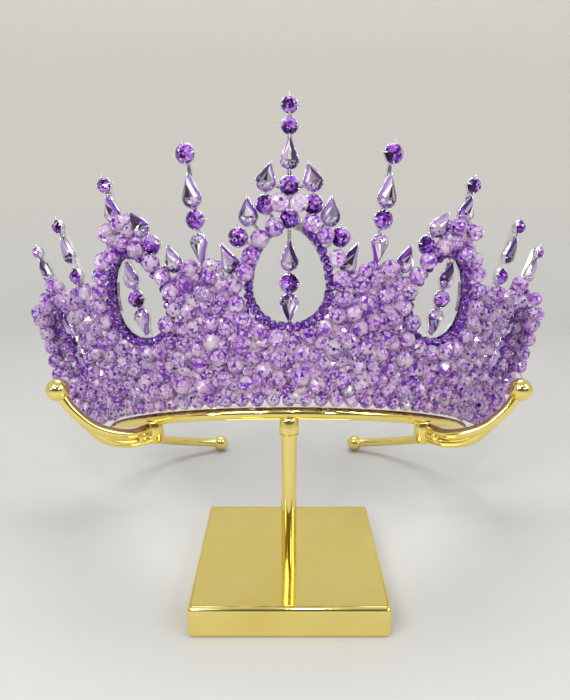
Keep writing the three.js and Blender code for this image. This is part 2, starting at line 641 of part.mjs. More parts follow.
function addStand(group) {
  const half = PLATE.side / 2 - PLATE.bevel;
  const square = new THREE.Shape([
    new THREE.Vector2(-half, -half),
    new THREE.Vector2(half, -half),
    new THREE.Vector2(half, half),
    new THREE.Vector2(-half, half),
  ]);
  const plate = new THREE.ExtrudeGeometry(square, {
    depth: PLATE.height - 2 * PLATE.bevel,
    bevelThickness: PLATE.bevel,
    bevelSize: PLATE.bevel,
    bevelSegments: 1,
  }).translate(0, 0, PLATE.bevel);
  addMesh(group, "base_plate", plate, GOLD);

  const collarFoot = RING.frontZ - ROD.radius - COLLAR.skirt;
  const profile = (points) => points.map(([x, y]) => new THREE.Vector2(x, y));
  const postProfile = profile([
    [0, PLATE.height],
    [POST.radius, PLATE.height],
    [POST.radius, collarFoot],
    [0, collarFoot],
  ]);
  const post = new THREE.LatheGeometry(postProfile, POST.sides).rotateX(Math.PI / 2);
  addMesh(group, "post", post, GOLD);

  const collarProfile = profile([
    [0, collarFoot],
    [COLLAR.radius, collarFoot],
    [COLLAR.radius, RING.frontZ],
    [COLLAR.radius - COLLAR.dome, RING.frontZ + COLLAR.dome],
    [0, RING.frontZ + COLLAR.dome],
  ]);
  const collar = new THREE.LatheGeometry(collarProfile, COLLAR.sides).rotateX(Math.PI / 2);
  const bore = ROD.radius + COLLAR.rodClearance;
  const through = 4 * COLLAR.radius;
  const saddle = new THREE.CylinderGeometry(bore, bore, through, POST.sides)
    .rotateZ(Math.PI / 2)
    .translate(0, 0, RING.frontZ);
  const slot = new THREE.BoxGeometry(through, 2 * bore, through).translate(0, 0, RING.frontZ + through / 2);
  const cup = solidOf(collar).subtract(solidOf(saddle)).subtract(solidOf(slot));
  addMesh(group, "collar", geometryFrom(cup), GOLD);
  addMesh(group, "cradle", cradleGeometry(), GOLD);
}

const part = new THREE.Group();
addStand(part);
addMesh(tiara, "tiara_frame", frameGeometry(), SILVER);
addMesh(tiara, "bead_field_left", beadFieldGeometry(-1), LILAC);
addMesh(tiara, "bead_field_right", beadFieldGeometry(1), LILAC);
addStrings();
addStones();
addStoneRows();
part.add(tiara);

export default part;
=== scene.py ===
"""Looks of a crystal tiara on a polished display stand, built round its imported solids.

Lengths in the tables are millimetres, as in the part's source, and become metres where a mesh is made.
"""

import math
import random

import bmesh
import bpy
from mathutils import Matrix, Vector


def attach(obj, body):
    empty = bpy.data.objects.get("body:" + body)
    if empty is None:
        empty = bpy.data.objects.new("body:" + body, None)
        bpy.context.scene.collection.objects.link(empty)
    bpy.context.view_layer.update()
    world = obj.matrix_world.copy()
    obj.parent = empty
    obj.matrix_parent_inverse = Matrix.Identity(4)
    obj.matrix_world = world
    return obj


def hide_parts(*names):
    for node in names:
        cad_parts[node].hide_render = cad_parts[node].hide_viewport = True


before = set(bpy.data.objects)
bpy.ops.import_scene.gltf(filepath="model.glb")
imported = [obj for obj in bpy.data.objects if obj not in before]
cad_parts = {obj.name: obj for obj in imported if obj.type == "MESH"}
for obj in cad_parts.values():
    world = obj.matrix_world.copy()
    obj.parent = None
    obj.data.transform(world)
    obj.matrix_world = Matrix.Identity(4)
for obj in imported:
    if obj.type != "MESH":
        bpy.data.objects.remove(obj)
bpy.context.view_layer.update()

MM = 0.001
SEED = 20
rng = random.Random(SEED)

# Stand, from the solids
PLATE_SIDE = 60
PLATE_HEIGHT = 10.3
PLATE_BEVEL = 1.5
PLATE_CORNER = 1.2
POST_RADIUS = 2.5
COLLAR_RADIUS = 3.1
COLLAR_SKIRT = 5
COLLAR_CAP = 1.4
ROD_RADIUS = 2.0
HORN_RADIUS = 1.75
FITTING_RADIUS = 2.8
FITTING_HEIGHT = 8.4
FITTING_AZIMUTH = math.radians(39)
# how far down its fitting a horn, a brace and the nut start, as a share of its height
HORN_SHARE = 0.3
BRACE_SHARE = 0.75
NUT_SHARE = 0.55
NUT_DISTANCE = 5.2
BALL_RADIUS = 3.65
RING_FRONT_Z = 59.4
RING_FRONT_SWEEP = math.radians(66)
RING_REAR_RADIUS = 54.6
RING_REAR_END = math.radians(162)
# points of the right horn and brace after the fitting
HORN = [(53, 7, 49.2), (62, 2, 53.4), (68.4, 0, 60.2), (72.6, 0, 67.2)]
BRACE = [(53, 9, 45.4), (60, 4.4, 48.6), (65.4, 1, 56)]

# Tiara wall, from the solids
CONE_RADIUS = 72.4
FLARE = math.radians(26.5)
TILT = math.radians(28.2)
HALF_ARC = math.radians(80)
AXIS_STEP = math.radians(16.2)
SEAT_GAP = 0.3
WALL_THICKNESS = 1.2
STONE_BACK = 1.8
STRING_RADIUS = 1.35
CELL_TAPER = 0.18
FIELD_FOOT = 3.2
FIELD_TOP = 46
BULGE_FROM = math.radians(60)
BULGE_TO = math.radians(72)
BULGE_RISE = 3.4
DIP_FROM = math.radians(45)
DIP_DEPTH = 1.6
BELLY_FOOT = 6
BELLY_SLANT = 25
BELLY_RISE = 4.0
BELLY_FALL = 0.5
END_TOP_RISE = 7
END_TOP_FROM = math.radians(36)

# name, width across the round end, length to the point, depth from back to table
CUTS = {
    "round": (5.8, 5.8, 3.0),
    "small_round": (4.7, 4.7, 2.6),
    "pear": (5.8, 10.4, 3.2),
    "slim_pear": (5.2, 9.6, 2.9),
    "short_pear": (5.6, 8.6, 2.9),
}

# name, axis, lowest and highest slant height, half width, where the string ends, in degrees from the foot
CELLS = [
    ("centre", 0, 26.8, 55.2, 10.7, 155),
    ("side", 2, 25.4, 52.2, 10.2, 180),
    ("outer", 4, 21.2, 47.2, 9.3, 180),
]

# node, axis, distance out from the axis, slant height of the round end, cut, lean, on both sides
STONES = [
    ("top_round", 0, 0, 89.4, "small_round", 0, False),
    ("neck_round", 0, 0, 83.8, "small_round", 0, False),
    ("spire_pear", 0, 0, 74.4, "slim_pear", 0, False),
    ("heart_round", 0, 0, 67.4, "round", 0, False),
    ("crest_pear", 0, 6.8, 68.6, "short_pear", -18, True),
    ("cheek_round", 0, 6.8, 62.2, "round", 0, True),
    ("keystone_round", 0, 0, 57.9, "round", 0, False),
    ("shoulder_pear", 0, 11.9, 58.9, "short_pear", 0, True),
    ("shoulder_round", 0, 15.0, 53.1, "round", 0, True),
    ("flank_pear", 0, 17.4, 45.2, "slim_pear", 20, True),
    ("drop_pear", 0, 0, 45.3, "slim_pear", 0, False),
    ("drop_round", 0, 0, 39.0, "round", 0, False),
    ("drop_point", 0, 0, 33.0, "short_pear", 180, False),
    ("column_round", 1, 0, 78.5, "round", 0, True),
    ("column_pear", 1, 0, 65.7, "pear", 0, True),
    ("column_knot", 1, 0, 59.4, "round", 0, True),
    ("column_point", 1, 0, 52.6, "slim_pear", 180, True),
    ("side_top", 2, 0, 75.3, "small_round", 0, True),
    ("side_pear", 2, 0, 66.3, "short_pear", 0, True),
    ("side_crest", 2, -9.2, 59.8, "short_pear", 26, True),
    ("side_round", 2, -11.5, 54.2, "round", 0, True),
    ("side_flank", 2, -17.2, 47.4, "short_pear", 8, True),
    ("side_drop_pear", 2, 0, 45.0, "short_pear", 0, True),
    ("side_drop_round", 2, 0, 38.8, "round", 0, True),
    ("side_drop_point", 2, 0, 32.6, "short_pear", 180, True),
]

# row node, axis, slant height of the round end, cut, lean
STONE_ROWS = [
    ("outer_column", 3, 70.6, "small_round", 0),
    ("outer_column", 3, 60.0, "slim_pear", 0),
    ("outer_column", 3, 52.5, "round", 0),
    ("outer_spire", 4, 71.4, "small_round", 0),
    ("outer_spire", 4, 61.6, "slim_pear", 0),
    ("outer_spire", 4, 54.6, "round", 0),
    ("outer_drop", 4, 39.6, "short_pear", 0),
    ("outer_drop", 4, 33.8, "small_round", 0),
    ("outer_drop", 4, 28.2, "short_pear", 180),
]


# Where things are on the tiara's cone

def cone_radius(slant):
    return CONE_RADIUS + slant * math.sin(FLARE)


def local_cone(azimuth, slant, height):
    radius = cone_radius(slant) + height * math.cos(FLARE)
    z = slant * math.cos(FLARE) - height * math.sin(FLARE)
    return Vector((radius * math.sin(azimuth), CONE_RADIUS - radius * math.cos(azimuth), z))


RING_HEIGHT = -(ROD_RADIUS + SEAT_GAP + WALL_THICKNESS * math.sin(FLARE))
LEAN_BACK = Matrix.Rotation(-TILT, 4, "X")
RING_FRONT = LEAN_BACK @ Vector((0, -WALL_THICKNESS / 2, RING_HEIGHT))
TIARA = Matrix.Translation((0, -RING_FRONT.y, RING_FRONT_Z - RING_FRONT.z)) @ LEAN_BACK


def on_cone(azimuth, slant, height):
    return TIARA @ local_cone(azimuth, slant, height)


def tangent_frame(azimuth, slant):
    along = Vector((math.cos(azimuth), math.sin(azimuth), 0))
    up = local_cone(azimuth, slant + 1, 0) - local_cone(azimuth, slant, 0)
    off = along.cross(up)
    turn = Matrix((along, up, off)).transposed().to_4x4()
    return TIARA @ Matrix.Translation(local_cone(azimuth, slant, 0)) @ turn


def stone_place(axis, out, slant, lean, sign):
    azimuth = sign * (axis * AXIS_STEP + out / cone_radius(slant))
    return tangent_frame(azimuth, slant) @ Matrix.Rotation(-sign * math.radians(lean), 4, "Z")


def signs_of(axis, both=False):
    return (-1, 1) if axis > 0 or both else (1,)


def side_name(axis, both, sign):
    if axis == 0 and not both:
        return ""
    return "_left" if sign < 0 else "_right"


def cell_point(cell, sign, grow, turn):
    """A place on a cell's outline grown outward, at a turn from its foot round by the right."""
    name, axis, low, high, half, end = cell
    slant = (low + high) / 2 - ((high - low) / 2 + grow) * math.cos(turn)
    out = (half + grow) * math.sin(turn) * (1 + CELL_TAPER * math.cos(turn))
    return sign * axis * AXIS_STEP + out / cone_radius(slant), slant


def outside_cell(cell, sign, azimuth, slant):
    """How far a place on the wall is outside an open cell."""
    name, axis, low, high, half, end = cell
    middle, reach = (low + high) / 2, (high - low) / 2
    out = (azimuth - sign * axis * AXIS_STEP) * cone_radius(slant)
    turn = math.atan2(out / half, (middle - slant) / reach)
    edge_out = half * math.sin(turn) * (1 + CELL_TAPER * math.cos(turn))
    return math.hypot(out, slant - middle) - math.hypot(edge_out, reach * math.cos(turn))


def smooth_share(value, start, end):
    share = min(max((value - start) / (end - start), 0), 1)
    return share * share * (3 - 2 * share)


def end_share(azimuth):
    return smooth_share(abs(azimuth), BULGE_FROM, BULGE_TO)


def bulge(azimuth, slant):
    """How far the beads stand out past the middle's.

    They stand further out at the ends, and less far where they would hide the outer drop.
    """
    fall = 1 - BELLY_FALL * smooth_share(slant, BELLY_SLANT, FIELD_TOP)
    belly = smooth_share(slant, BELLY_FOOT, BELLY_SLANT) * fall
    share = end_share(azimuth)
    dip = DIP_DEPTH * smooth_share(abs(azimuth), DIP_FROM, BULGE_FROM) * (1 - share)
    return share * (BULGE_RISE + BELLY_RISE * belly) - dip


def field_top(azimuth):
    return FIELD_TOP + END_TOP_RISE * smooth_share(abs(azimuth), END_TOP_FROM, HALF_ARC)


# Meshes

FLAT_ANGLE = 0.02


def on_circle(radius, turn, z=0):
    return Vector((radius * math.cos(turn), radius * math.sin(turn), z))


def skin(rings, count, looped=False):
    """Faces between rings of points and over both ends, or on from the last ring to the first if looped."""
    faces = []
    for ring in range(rings if looped else rings - 1):
        above = (ring + 1) % rings
        for i in range(count):
            j = (i + 1) % count
            faces.append((ring * count + i, ring * count + j, above * count + j, above * count + i))
    if not looped:
        faces += [tuple(range(count))[::-1], tuple(range((rings - 1) * count, rings * count))]
    return faces


def new_object(name, vertices, faces, look, colours=None, smooth=False, edges=None):
    """A mesh object in metres from millimetre points, with a colour for each face where given."""
    mesh = bpy.data.meshes.new(name)
    mesh.from_pydata([Vector(v) * MM for v in vertices], [], faces)
    if colours:
        layer = mesh.color_attributes.new("facet", "FLOAT_COLOR", "CORNER")
        shades = []
        for face, colour in zip(faces, colours):
            shades += [*colour, 1] * len(face)
        layer.data.foreach_set("color", shades)
    if edges:
        mesh.attributes.new("edge", "FLOAT", "POINT").data.foreach_set("value", edges)
    mesh.polygons.foreach_set("use_smooth", [smooth] * len(mesh.polygons))
    mesh.materials.append(look)
    obj = bpy.data.objects.new(name, mesh)
    bpy.context.scene.collection.objects.link(obj)
    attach(obj, "root")
    return obj


class Pile:
    """Vertices with their edge marks, and faces with their colours, of many small bodies in one piece."""

    def __init__(self):
        self.vertices, self.faces, self.colours, self.edges = [], [], [], []

    def add(self, vertices, faces, colours, place, edges=None):
        start = len(self.vertices)
        self.edges += edges or [0] * len(vertices)
        self.vertices += [place @ Vector(v) for v in vertices]
        self.faces += [tuple(start + i for i in face) for face in faces]
        self.colours += colours or [(1, 1, 1)] * len(faces)


def hull(points):
    """Vertices and faces of the convex body round some points."""
    shape = bmesh.new()
    for p in points:
        shape.verts.new(p)
    found = bmesh.ops.convex_hull(shape, input=shape.verts)
    inner = [e for e in found["geom_interior"] + found["geom_unused"] if isinstance(e, bmesh.types.BMVert)]
    bmesh.ops.delete(shape, geom=list(set(inner)), context="VERTS")
    bmesh.ops.dissolve_limit(shape, angle_limit=FLAT_ANGLE, verts=shape.verts, edges=shape.edges)
    bmesh.ops.recalc_face_normals(shape, faces=shape.faces)
    shape.verts.index_update()
    vertices = [v.co.copy() for v in shape.verts]
    faces = [tuple(v.index for v in face.verts) for face in shape.faces]
    shape.free()
    return vertices, faces


def face_normal(vertices, face):
    a, b, c = (Vector(vertices[i]) for i in face[:3])
    return (b - a).cross(c - a).normalized()


def lathe(profile, sides):
    """Closed round body from a profile of radius and height that starts and ends on the axis."""
    vertices, faces, rings = [], [], []
    for radius, z in profile:
        if radius == 0:
            rings.append([len(vertices)])
            vertices.append(Vector((0, 0, z)))
            continue
        rings.append(list(range(len(vertices), len(vertices) + sides)))
        for i in range(sides):
            vertices.append(on_circle(radius, 2 * math.pi * i / sides, z))
    for low, high in zip(rings, rings[1:]):
        for i in range(sides):
            j = (i + 1) % sides
            if len(low) == 1:
                faces.append((low[0], high[j], high[i]))
            elif len(high) == 1:
                faces.append((low[i], low[j], high[0]))
            else:
                faces.append((low[i], low[j], high[j], high[i]))
    return vertices, faces


def smooth_path(points, spans):
    """Points along a curve through the given ones."""
    padded = [2 * points[0] - points[1], *points, 2 * points[-1] - points[-2]]
    path = []
    for a, b, c, d in zip(padded, padded[1:], padded[2:], padded[3:]):
        for i in range(spans):
            t = i / spans
            path.append(
                0.5 * (2 * b + (c - a) * t + (2 * a - 5 * b + 4 * c - d) * t * t
                       + (3 * b - a - 3 * c + d) * t * t * t))
    return path + [points[-1]]


def rod(path, radii, sides):
    """Round rod along a path, closed at both ends, with one radius or one at each point."""
    vertices = []
    across = None
    for i, here in enumerate(path):
        run = (path[min(i + 1, len(path) - 1)] - path[max(i - 1, 0)]).normalized()
        across = run.orthogonal() if across is None else across - run * across.dot(run)
        across.normalize()
        other = run.cross(across)
        radius = radii[i] if isinstance(radii, list) else radii
        for j in range(sides):
            turn = 2 * math.pi * j / sides
            vertices.append(here + radius * (across * math.cos(turn) + other * math.sin(turn)))
    return vertices, skin(len(path), sides)


def ball(radius, sides=32, rings=16):
    profile = [(radius * math.sin(math.pi * i / rings), -radius * math.cos(math.pi * i / rings))
               for i in range(rings + 1)]
    profile[0], profile[-1] = (0, -radius), (0, radius)
    return lathe(profile, sides)


# Materials

GLASS_IOR = 1.56
RIPPLE_DEPTH = 0.0006
# least and most haze, as shares of the roughness
HAZE = (0.6, 1.4)
# where a facet's line of painted reflection and glint begins and where it is full, from the facet's middle
# at 0 to its edge at 1
LINE_SPAN = (0.66, 0.88)
LINE_SCALE = 260


def material(name):
    made = bpy.data.materials.new(name)
    made.use_nodes = True
    return made, made.node_tree, made.node_tree.nodes["Principled BSDF"]


def noise_field(tree, scale, detail):
    noise = tree.nodes.new("ShaderNodeTexNoise")
    noise.inputs["Scale"].default_value = scale
    noise.inputs["Detail"].default_value = detail
    place = tree.nodes.new("ShaderNodeTexCoord")
    tree.links.new(place.outputs["Object"], noise.inputs["Vector"])
    return noise.outputs["Fac"]


def bump(tree, shader, height, strength, distance):
    node = tree.nodes.new("ShaderNodeBump")
    node.inputs["Strength"].default_value = strength
    node.inputs["Distance"].default_value = distance
    tree.links.new(height, node.inputs["Height"])
    tree.links.new(node.outputs["Normal"], shader.inputs["Normal"])


def ramp(tree, source, stops, blend="LINEAR"):
    node = tree.nodes.new("ShaderNodeValToRGB")
    bar = node.color_ramp
    bar.interpolation = blend
    while len(bar.elements) < len(stops):
        bar.elements.new(0.5)
    for element, (position, colour) in zip(bar.elements, stops):
        element.position = position
        element.color = (*colour, 1)
    tree.links.new(source, node.inputs["Fac"])
    return node.outputs["Color"]


def metal(name, light, dark, roughness, scale, wave):
    """Polished plate: a tint and a haze that drift, and a faint ripple in the polish."""
    made, tree, shader = material(name)
    drift = noise_field(tree, scale, 3)
    tree.links.new(ramp(tree, drift, [(0.3, dark), (0.7, light)]), shader.inputs["Base Color"])
    least, most = (roughness * share for share in HAZE)
    haze = ramp(tree, drift, [(0.25, (least,) * 3), (0.75, (most,) * 3)])
    tree.links.new(haze, shader.inputs["Roughness"])
    bump(tree, shader, noise_field(tree, scale / 4, 2), wave, RIPPLE_DEPTH)
    shader.inputs["Metallic"].default_value = 1
    return made


def attribute(tree, name):
    node = tree.nodes.new("ShaderNodeAttribute")
    node.attribute_name = name
    return node


def lined(tree, colour, lines):
    """The colour of the facets, with lines of drifting tint along their edges: painted reflections and
    glints of the cut.
    """
    start, full = LINE_SPAN
    on_line = ramp(tree, attribute(tree, "edge").outputs["Fac"], [(start, (0, 0, 0)), (full, (1, 1, 1))])
    mix = tree.nodes.new("ShaderNodeMix")
    mix.data_type = "RGBA"
    sockets = {socket.identifier: socket for socket in [*mix.inputs, *mix.outputs]}
    tree.links.new(on_line, sockets["Factor_Float"])
    tree.links.new(colour, sockets["A_Color"])
    tree.links.new(ramp(tree, noise_field(tree, LINE_SCALE, 1), lines), sockets["B_Color"])
    return sockets["Result_Color"]


def facet_glass(name, transmission, metallic, roughness, lines=None):
    """Cut glass whose facets carry their own tint, on the field beads and the stones partly painted
    reflection, with tinted lines of painted reflection and glint along the facets' edges where given.
    """
    made, tree, shader = material(name)
    colour = attribute(tree, "facet").outputs["Color"]
    if lines:
        colour = lined(tree, colour, lines)
    tree.links.new(colour, shader.inputs["Base Color"])
    shader.inputs["Transmission Weight"].default_value = transmission
    shader.inputs["Metallic"].default_value = metallic
    shader.inputs["Roughness"].default_value = roughness
    shader.inputs["IOR"].default_value = GLASS_IOR
    return made


WHITE = (0.98, 0.94, 0.96)
PINK = (0.99, 0.82, 0.96)
PALE = (0.97, 0.81, 0.92)
LILAC = (0.84, 0.48, 0.90)
VIOLET = (0.33, 0.06, 0.70)
DEEP = (0.14, 0.03, 0.38)
INK = (0.02, 0.005, 0.04)
GREY = (0.42, 0.38, 0.50)
SMOKE = (0.06, 0.05, 0.07)
PLUM = (0.10, 0.02, 0.22)
MAUVE = (0.48, 0.28, 0.72)
MIST = (0.54, 0.45, 0.62)
ASH = (0.34, 0.27, 0.44)
ROSE = (0.80, 0.62, 0.78)

# name, light and dark tint, roughness, scale of the drift, strength of the ripple
GOLD = metal("gold", (0.93, 0.78, 0.27), (0.88, 0.71, 0.21), 0.10, 60, 0.05)
SILVER = metal("silver", (0.90, 0.90, 0.92), (0.78, 0.78, 0.82), 0.14, 90, 0.05)
# name, share of light let through, share of mirror shine, roughness, tints of the painted lines of
# reflection and glint
STRING_BEAD = facet_glass("string_bead", 0.15, 0.2, 0.04)
DARK_STONE = facet_glass("dark_stone", 0, 0.45, 0.05)
PALE_STONE = facet_glass("pale_stone", 0, 0.55, 0.04)
BEAD = facet_glass("bead", 0.60, 0, 0.02, [(0.47, VIOLET), (0.56, LILAC), (0.64, WHITE)])

# share of the beads of this kind, then the tints of its facets: the glass's own lilac and pink, with white
# facets as painted glints and violet and deep ones as painted inner reflections
BEAD_KINDS = [
    (0.48, [PALE, PALE, PALE, WHITE, WHITE, WHITE, LILAC, LILAC, LILAC, VIOLET, DEEP]),
    (0.26, [PINK, PINK, PALE, WHITE, WHITE, PALE, LILAC, VIOLET, DEEP]),
    (0.18, [LILAC, LILAC, PALE, PALE, WHITE, VIOLET]),
    (0.08, [VIOLET, LILAC, LILAC, DEEP, PALE, WHITE]),
]
STRING_TINTS = [DEEP, DEEP, PLUM, PLUM, VIOLET, INK, MAUVE]
# the stones' own violet and lavender with painted reflection: each list runs from the painted dark side of a
# stone to its painted bright side
DARK_TINTS = [INK, PLUM, DEEP, VIOLET, LILAC, DEEP, VIOLET, PLUM, VIOLET, MAUVE]
PALE_TINTS = [SMOKE, ASH, SMOKE, GREY, ASH, MIST, GREY, WHITE, ROSE, MIST]
EDGE_TINTS = [PLUM, VIOLET, MAUVE, VIOLET, MAUVE, MAUVE]
CLEAR_TINTS = [WHITE, WHITE, WHITE, PINK, PALE, PALE, LILAC]
# how far the painted lines of reflection and glint show on the clear beads
CLEAR_LINES = 0.86


# Stones in their settings

OUTLINE_POINTS = 16
GIRDLE_LEVEL = 0.36
GIRDLE_HALF = 0.1
# facets steeper than this, by the height of their normal, take the edge tints on a pale stone
EDGE_SLOPE = 0.62
BACK_SHARE = 0.62
# rows of facets on the crown: share of the outline, share of the crown's height
ROUND_BREAK = (0.80, 0.58)
ROUND_TABLE = (0.54, 1)
PEAR_BAND = (0.82, 0.46)
PEAR_BREAK = (0.56, 0.88)
PEAR_TABLE = (0.24, 1)
# star on a round stone's table: share of the table, rise of its points and of its middle
STAR_SHARE = 0.62
STAR_RISE = 0.05
STAR_TOP = 0.08
# how far a facet's tint follows the painted light and shade across the stone, and how far it strays from
# that
FLASH = 0.8
ROUND_STRAY = 0.62
PEAR_STRAY = 0.42


def cut_outline(cut):
    """Points round a cut's girdle, from the point down one side and up the other."""
    width, length, depth = CUTS[cut]
    radius, tip = width / 2, length - width / 2
    if length == width:
        return [on_circle(radius, 2 * math.pi * i / OUTLINE_POINTS) for i in range(OUTLINE_POINTS)]
    tangent = math.pi - math.acos(radius / tip)
    points = [Vector((0, tip, 0))]
    for i in range(OUTLINE_POINTS - 1):
        turn = -math.pi / 2 - tangent + 2 * tangent * i / (OUTLINE_POINTS - 2)
        points.append(on_circle(radius, turn))
    return points


def lift(point, share, z):
    return Vector((point.x * share, point.y * share, z))


def lifted(points, share, z):
    return [lift(p, share, z) for p in points]


def split_table(vertices, faces):
    """Breaks the flat top of a stone into a star of small facets, a little raised."""
    heights = [sum(vertices[v].z for v in face) / len(face) for face in faces]
    rim = list(faces.pop(heights.index(max(heights))))
    count = len(rim)
    middle = sum((vertices[v] for v in rim), Vector()) / count
    start = len(vertices)
    for i in range(count):
        edge = (vertices[rim[i]] + vertices[rim[(i + 1) % count]]) / 2
        vertices.append(middle + (edge - middle) * STAR_SHARE + Vector((0, 0, STAR_RISE)))
    vertices.append(middle + Vector((0, 0, STAR_TOP)))
    for i in range(count):
        j = (i + 1) % count
        faces.append((rim[i], rim[j], start + i))
        faces.append((rim[j], start + j, start + i))
        faces.append((start + i, start + j, start + count))


def gem(cut, tints):
    """A cut stone with a table, rows of crown facets, girdle and flat back, and a tint for each facet: the
    stone's own colour with painted reflection, bright on one side and dark on the other.
    """
    width, length, depth = CUTS[cut]
    is_round = length == width
    girdle = GIRDLE_LEVEL * depth
    outline = cut_outline(cut)
    odd, even = outline[1::2], outline[0::2]
    points = lifted(even, BACK_SHARE, 0)
    points += lifted(outline, 1, girdle - GIRDLE_HALF) + lifted(outline, 1, girdle + GIRDLE_HALF)
    if is_round:
        rows = [(odd, ROUND_BREAK), (even, ROUND_TABLE)]
    else:
        rows = [(outline, PEAR_BAND), (even, PEAR_BREAK), (odd, PEAR_TABLE)]
    for row, (share, rise) in rows:
        points += lifted(row, share, girdle + rise * (depth - girdle))
    vertices, faces = hull(points)
    if is_round:
        split_table(vertices, faces)
    stray = ROUND_STRAY if is_round else PEAR_STRAY
    # painted reflection: a random side of the stone that the facet tints brighten towards and darken away
    # from
    flash = Matrix.Rotation(rng.uniform(0, 2 * math.pi), 4, "Z") @ Vector((1, 0, 0))
    colours = []
    for face in faces:
        normal = face_normal(vertices, face)
        choice = EDGE_TINTS if normal.z < EDGE_SLOPE and tints is PALE_TINTS else tints
        share = 0.5 + FLASH * normal.dot(flash) + rng.uniform(-stray, stray)
        colours.append(choice[int(min(max(share, 0), 0.999) * len(choice))])
    return vertices, faces, colours


def add_bezel(pile, cut, place):
    """A silver cup round a stone's back, for the stones that are seen from the side."""
    width, length, depth = CUTS[cut]
    level = STONE_BACK + GIRDLE_LEVEL * depth
    outline = cut_outline(cut)
    # share of the outline and height, round the cup's wall
    wall = [
        (0.55, STONE_BACK - 1.2),
        (1.10, level - 0.5),
        (1.14, level + 0.25),
        (1.04, level + 0.25),
        (0.50, STONE_BACK - 0.5),
    ]
    vertices = [lift(p, share, z) for share, z in wall for p in outline]
    pile.add(vertices, skin(len(wall), len(outline), looped=True), None, place)


WIRE_SIDES = 6
GALLERY_DROP = 0.8
GALLERY_RADIUS = 0.26
# share of the outline and wire radius of a claw
ROUND_CLAW = (1.06, 0.24)
PEAR_CLAW = (1.02, 0.16)
CLAW_TIP = 0.84
CLAW_SPANS = 3
# rise from the girdle at a claw's foot, bend and tip
CLAW_RISES = (-1.3, 0.2, 0.7)
SPUR_SHARE = 1.04
# distance out, rise from the girdle and wire radius along a spur
SPUR = [
    (0, -0.5, 0.24),
    (0.6, -0.5, 0.18),
    (1.2, -0.4, 0.06),
]


def add_setting(pile, cut, place):
    """A thin gallery under the girdle and four claws, and on a round stone a spur outside each claw."""
    width, length, depth = CUTS[cut]
    is_round = length == width
    level = STONE_BACK + GIRDLE_LEVEL * depth
    outline = cut_outline(cut)
    gallery = lifted(outline, 1, level - GALLERY_DROP)
    pile.add(*rod(gallery + gallery[:1], GALLERY_RADIUS, WIRE_SIDES), None, place)
    reach, radius = ROUND_CLAW if is_round else PEAR_CLAW
    foot, bend, tip = (level + rise for rise in CLAW_RISES)
    for corner in outline[0::4]:
        claw = [lift(corner, reach, foot), lift(corner, reach, bend), lift(corner, CLAW_TIP, tip)]
        pile.add(*rod(smooth_path(claw, CLAW_SPANS), radius, WIRE_SIDES), None, place)
        if is_round:
            away = corner.normalized()
            spur = [lift(corner, SPUR_SHARE, level + rise) + away * out for out, rise, thick in SPUR]
            pile.add(*rod(spur, [thick for out, rise, thick in SPUR], WIRE_SIDES), None, place)


def make_stones():
    settings = Pile()
    seat = Matrix.Translation((0, 0, STONE_BACK))
    for name, axis, out, slant, cut, lean, both in STONES:
        tints, look = (DARK_TINTS, DARK_STONE) if cut.endswith("round") else (PALE_TINTS, PALE_STONE)
        for sign in signs_of(axis, both):
            place = stone_place(axis, out, slant, lean, sign)
            stone = Pile()
            stone.add(*gem(cut, tints), place @ seat)
            node = name + side_name(axis, both, sign)
            piece = new_object("cut_" + node, stone.vertices, stone.faces, look, stone.colours)
            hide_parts(node)
            add_setting(settings, cut, place)
    for row in dict.fromkeys(r[0] for r in STONE_ROWS):
        for sign in (-1, 1):
            stones = Pile()
            for name, axis, slant, cut, lean in STONE_ROWS:
                if name != row:
                    continue
                place = stone_place(axis, 0, slant, lean, sign)
                tints = DARK_TINTS if cut.endswith("round") else PALE_TINTS
                stones.add(*gem(cut, tints), place @ seat)
                add_setting(settings, cut, place)
                add_bezel(settings, cut, place)
            node = row + side_name(1, True, sign)
            piece = new_object("cut_" + node, stones.vertices, stones.faces, PALE_STONE, stones.colours)
            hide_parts(node)
    claws = new_object("settings", settings.vertices, settings.faces, SILVER, smooth=True)


# Beads

BEAD_SIDES = 10
# ring radius, height, turn in sides, from one mouth of the bore over the girdle to the other
BEAD_RINGS = [
    (0.20, 0.93, 0),
    (0.58, 0.79, 0),
    (0.94, 0.32, 0.5),
    (0.94, -0.32, 0),
    (0.58, -0.79, 0.5),
    (0.20, -0.93, 0.5),
]


def drilled_bead():
    """A drilled bead of unit radius. The last row of faces is its bore."""
    vertices, faces = [], []
    for radius, z, shift in BEAD_RINGS:
        for i in range(BEAD_SIDES):
            vertices.append(on_circle(radius, 2 * math.pi * (i + shift) / BEAD_SIDES, z))
    for row in range(len(BEAD_RINGS)):
        below = (row + 1) % len(BEAD_RINGS)
        step = BEAD_RINGS[below][2] - BEAD_RINGS[row][2]
        for i in range(BEAD_SIDES):
            j = (i + 1) % BEAD_SIDES
            a, b = row * BEAD_SIDES + i, below * BEAD_SIDES + i
            c, d = below * BEAD_SIDES + j, row * BEAD_SIDES + j
            if step == 0:
                faces.append((a, b, c, d))
            elif step > 0:
                faces += [(a, b, d), (b, c, d)]
            else:
                faces += [(a, b, c), (a, c, d)]
    return vertices, faces


def facet_fans(vertices, faces, bore):
    """Splits each facet but those of the bore into a fan round its centre, and tells centres from edges."""
    points, edges, fans = list(vertices), [1] * len(vertices), []
    for i, face in enumerate(faces):
        if i >= len(faces) - bore:
            fans.append([face])
            continue
        middle = len(points)
        points.append(sum((vertices[v] for v in face), Vector()) / len(face))
        edges.append(0)
        fans.append([(face[k - 1], face[k], middle) for k in range(len(face))])
    return points, fans, edges


STRING_SHAPE = drilled_bead()
BEAD_SHAPE = facet_fans(*STRING_SHAPE, 2 * BEAD_SIDES)


